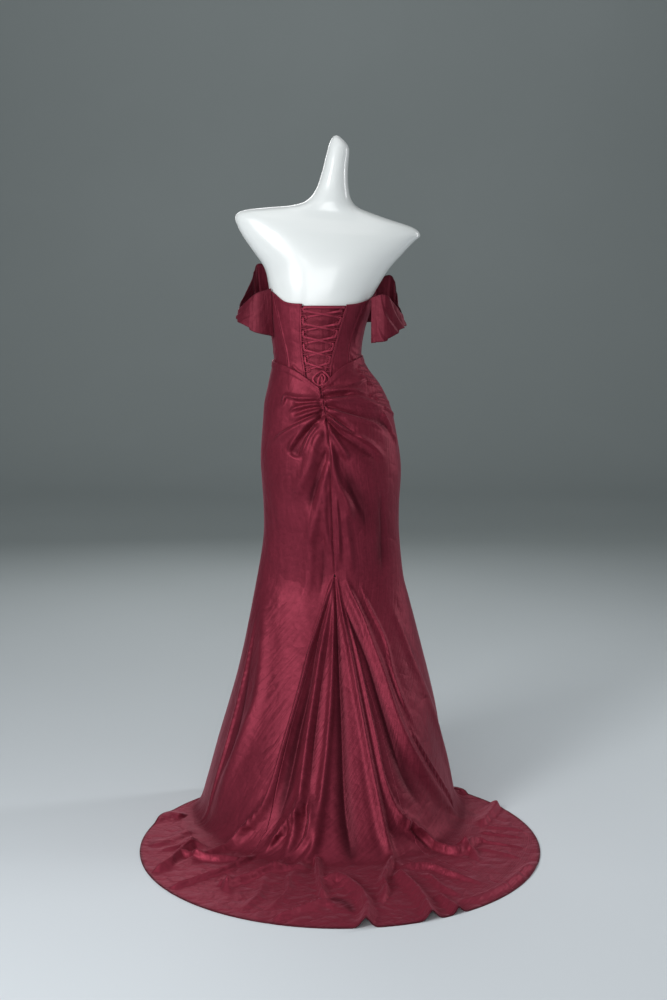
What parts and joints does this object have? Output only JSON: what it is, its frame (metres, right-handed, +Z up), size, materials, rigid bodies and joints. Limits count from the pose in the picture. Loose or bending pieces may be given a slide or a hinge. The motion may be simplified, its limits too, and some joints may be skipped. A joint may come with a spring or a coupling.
{
  "type": "prom dress on dress form",
  "caption": "Off-shoulder satin prom dress with laced corset back, gathered hips and a round train, on a limbless dress form with pole and base.",
  "frame": {"origin": "centre of the round hem, on the floor", "axes": "+Z up, -Y the front of the dress, so the laced back and the train face +Y; +X is the wearer's left"},
  "size_m": [0.9395, 0.94, 1.664],
  "materials": {
    "satin": "lustrous burgundy satin",
    "satin_dull": "burgundy satin in the lacing gap",
    "lacing": "burgundy satin lace and loops",
    "form_shell": "gloss white",
    "form_pole": "white enamel",
    "form_base": "white enamel"
  },
  "bodies": {
    "root": {"bodice_front_centre": "satin", "bodice_front_side_l": "satin", "bodice_front_side_r": "satin", "bodice_back_side_l": "satin", "bodice_back_side_r": "satin", "bodice_back_l": "satin", "bodice_back_r": "satin", "modesty_panel": "satin_dull", "loop_tape_l": "lacing", "loop_tape_r": "lacing", "lace_a": "lacing", "lace_b": "lacing", "sleeve_l": "satin", "sleeve_r": "satin", "skirt_front": "satin", "skirt_back_l": "satin", "skirt_back_r": "satin", "godet": "satin", "form_torso": "form_shell", "form_pole": "form_pole", "form_base": "form_base"}
  },
  "joints": []
}
